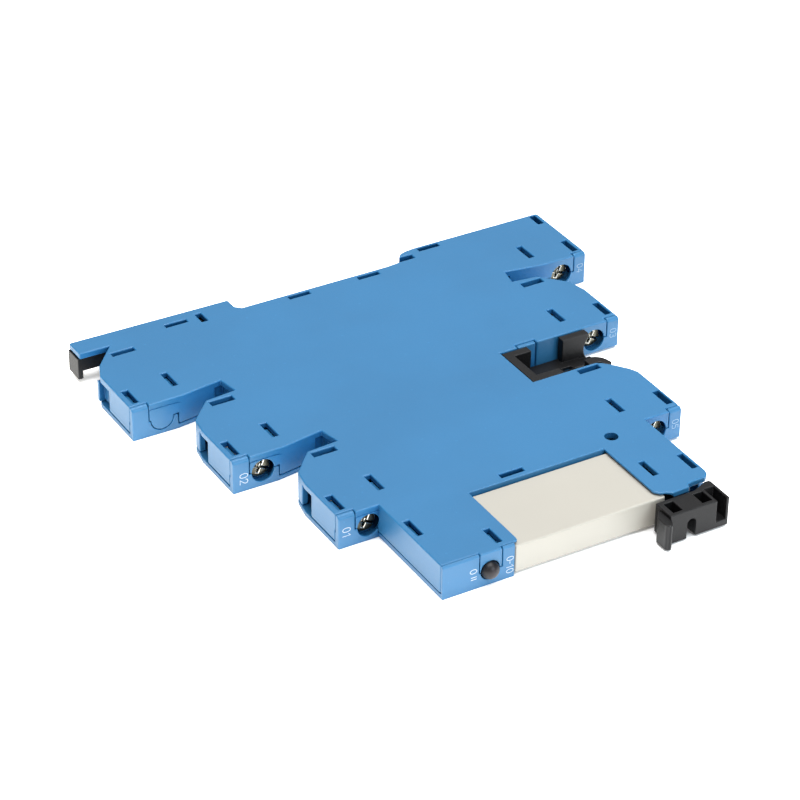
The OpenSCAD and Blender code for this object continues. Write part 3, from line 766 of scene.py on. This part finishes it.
# ---------------------------------------------------------------- plain numbers and signs
STROKES = {
    "0": [([(0.30, 1.0), (0.46, 0.93), (0.55, 0.75), (0.57, 0.5), (0.55, 0.25), (0.46, 0.07), (0.30, 0.0),
            (0.14, 0.07), (0.05, 0.25), (0.03, 0.5), (0.05, 0.75), (0.14, 0.93)], True)],
    "1": [([(0.08, 0.76), (0.32, 1.0), (0.32, 0.0)], False)],
    "2": [([(0.03, 0.74), (0.09, 0.92), (0.30, 1.0), (0.50, 0.92), (0.56, 0.74), (0.49, 0.54), (0.05, 0.03),
            (0.60, 0.03)], False)],
    "3": [([(0.04, 0.86), (0.14, 0.97), (0.34, 1.0), (0.52, 0.90), (0.53, 0.66), (0.40, 0.54), (0.22, 0.53)], False),
          ([(0.36, 0.53), (0.55, 0.42), (0.57, 0.16), (0.42, 0.02), (0.18, 0.0), (0.03, 0.12)], False)],
    "4": [([(0.44, 0.0), (0.44, 0.97), (0.03, 0.32)], False), ([(0.0, 0.29), (0.60, 0.29)], False)],
    "5": [([(0.54, 0.97), (0.12, 0.97), (0.08, 0.54), (0.30, 0.61), (0.50, 0.52), (0.57, 0.30), (0.48, 0.08),
            (0.27, 0.0), (0.04, 0.08)], False)],
    "-": [([(0.08, 0.48), (0.44, 0.48)], False)],
    "o": [([(0.30 + 0.26 * math.cos(a * math.pi / 8), 0.5 + 0.42 * math.sin(a * math.pi / 8)) for a in range(16)], True)],
    "=": [([(0.02, 0.22), (0.02, 0.90)], False), ([(0.30, 0.22), (0.30, 0.90)], False)],
}


def ribbon(bm, pts, closed, half, place, low, high):
    """Flat stroke of constant width along pts, as a closed prism."""
    n = len(pts)
    P = [Vector(p) for p in pts]
    sides = []
    for i in range(n):
        a = P[i - 1] if closed or i > 0 else None
        b = P[(i + 1) % n] if closed or i < n - 1 else None
        d = [(q - r).normalized() for q, r in ((P[i], a), (b, P[i])) if q is not None and r is not None]
        nr = [Vector((-t.y, t.x)) for t in d]
        m = (nr[0] + nr[-1]).normalized() if len(nr) > 1 else nr[0]
        k = min(1.5, 1.0 / max(0.3, m.dot(nr[0])))
        ends = 0.0
        shift = Vector((0, 0))
        if len(d) == 1:
            shift = d[0] * (half * 0.6) * (1 if i else -1)
        sides.append((P[i] + m * half * k + shift, P[i] - m * half * k + shift))
    grid = [[bm.verts.new(place(q, h)) for q in pair for h in (low, high)] for pair in sides]
    last = n if closed else n - 1
    for i in range(last):
        a, b = grid[i], grid[(i + 1) % n]
        for p, q in ((0, 1), (1, 3), (3, 2), (2, 0)):
            bm.faces.new((a[p], a[q], b[q], b[p]))
    if not closed:
        for g in (grid[0], grid[-1]):
            bm.faces.new((g[0], g[1], g[3], g[2]))


def sign(name, text, u, v, z, tall, pitch=0.78, half=0.040, ink=INK):
    """Strokes on a front face, read downwards, their tops towards +u."""
    bm = bmesh.new()
    length = (len(text) - 1) * pitch + 0.6
    for i, ch in enumerate(text):
        for pts, closed in STROKES[ch]:
            def place(q, h, i=i):
                along = (q.x + i * pitch - length / 2) * tall
                return W(u + (q.y - 0.5) * tall, v + h, z - along)
            ribbon(bm, pts, closed, half, place, -0.04, 0.012)
    bmesh.ops.recalc_face_normals(bm, faces=bm.faces)
    me = bpy.data.meshes.new(name)
    bm.to_mesh(me)
    bm.free()
    return piece(name, me, "housing", "bobbin_white", mats=(ink,))


sign("number_a2", "02", 9.35, 46.35, 2.50, 1.45)
sign("number_a1", "01", 16.05, 68.15, 2.85, 1.40)
sign("number_12", "04", 93.05, 17.15, 3.30, 1.25, ink=INK_WORN)
sign("number_11", "03", 85.75, 38.85, 3.30, 1.25, ink=INK_WORN)
sign("number_14", "05", 78.60, 68.15, 3.30, 1.25, ink=INK_WORN)
sign("sign_left", "o=", 27.45, 87.65, 2.75, 1.45, 1.05)
sign("sign_right", "0-10", 34.10, 87.65, 2.55, 1.25, 0.62)

# ---------------------------------------------------------------- the nodes that stay as they are
KEEP = {"housing_blue": BLUE, "black_plastic": BLACK, "relay_cream": CREAM, "relay_base_grey": BASE_GREY,
        "lens_smoke": LENS, "screw_zinc": SCREW, "cage_zinc": CAGE, "strip_brass": BRASS, "tinned_wire": TINNED,
        "board_green": BOARD, "component_black": EPOXY, "resistor_blue": RESISTOR, "capacitor_orange": ORANGE,
        "bobbin_white": BOBBIN, "winding_copper": WINDING, "soft_iron": IRON, "contact_silver": SILVER}
SMALL = {"clamp_cage": 0.12, "conductor": 0.08, "coil_contact": 0.06, "bridge_rectifier": 0.10, "surge_capacitor": 0.45,
         "series_resistor": 0.22, "freewheel_diode": 0.10, "circuit_board": 0.05, "relay_base": 0.12, "coil_bobbin": 0.08,
         "coil_yoke": 0.10, "armature": 0.10, "actuator_card": 0.08, "coil_core": 0.06, "nc_terminal": 0.04,
         "no_terminal": 0.04, "common_terminal": 0.05, "coil_pins": 0.05, "led_leads": 0.05, "moving_contact": 0.08,
         "nc_contact": 0.08, "no_contact": 0.06}
for n, o in NODE.items():
    o.data.materials.clear()
    o.data.materials.append(DIODE if n == "freewheel_diode" else KEEP[SLOT_OF[n]])
    for key, w in SMALL.items():
        if n.startswith(key):
            mod = o.modifiers.new("edge", "BEVEL")
            mod.width = w * MM
            mod.segments = 2
            mod.limit_method = "ANGLE"
            mod.angle_limit = math.radians(40)

# ---------------------------------------------------------------- stage
bm = bmesh.new()
bmesh.ops.create_grid(bm, x_segments=1, y_segments=1, size=3.0)
me = bpy.data.meshes.new("floor")
bm.to_mesh(me)
bm.free()
floor = link(bpy.data.objects.new("floor", me))
floor.location.z = -0.00002
me.materials.append(FLOOR)

world = bpy.data.worlds.new("studio")
bpy.context.scene.world = world
world.use_nodes = True
bg = world.node_tree.nodes["Background"]
bg.inputs[0].default_value = (1, 1, 1, 1)
bg.inputs[1].default_value = 0.25


def area(name, pos, target, size, power, tint=(1.0, 1.0, 1.0)):
    ld = bpy.data.lights.new(name, "AREA")
    ld.shape = "RECTANGLE"
    ld.size, ld.size_y = size
    ld.energy = power
    ld.color = tint
    lo = link(bpy.data.objects.new(name, ld))
    lo.location = pos
    d = Vector(target) - Vector(pos)
    lo.rotation_mode = "QUATERNION"
    lo.rotation_quaternion = d.to_track_quat("-Z", "Y")
    return lo


area("overhead", (0.0, 0.0, 0.95), (0, 0, 0), (0.9, 0.9), 15.5)
area("front", (0.20, -0.72, 0.46), (0, 0, 0), (0.5, 0.5), 4.0, (0.80, 0.92, 1.0))
area("back", (0.47, 0.79, 0.59), (0, 0, 0), (0.8, 0.8), 0.95)

# ---------------------------------------------------------------- camera
cam_data = bpy.data.cameras.new("camera")
cam = link(bpy.data.objects.new("camera", cam_data))
cam_data.sensor_fit = "HORIZONTAL"
cam_data.sensor_width = 36.0
cam_data.lens = 3040.5513 / 800 * 36.0
cam_data.clip_start, cam_data.clip_end = 0.01, 20.0
right = Vector((0.86314371, -0.50485055, 0.01043313)).normalized()
back = Vector((-0.43039067, -0.72471941, 0.53809446)).normalized()
up = back.cross(right).normalized()
right = up.cross(back).normalized()
R = Matrix((right, up, back)).transposed().to_4x4()
cam.matrix_world = Matrix.Translation((-0.2236572, -0.3612400, 0.2772558)) @ R
bpy.context.scene.camera = cam

bpy.context.scene.view_settings.view_transform = "Standard"
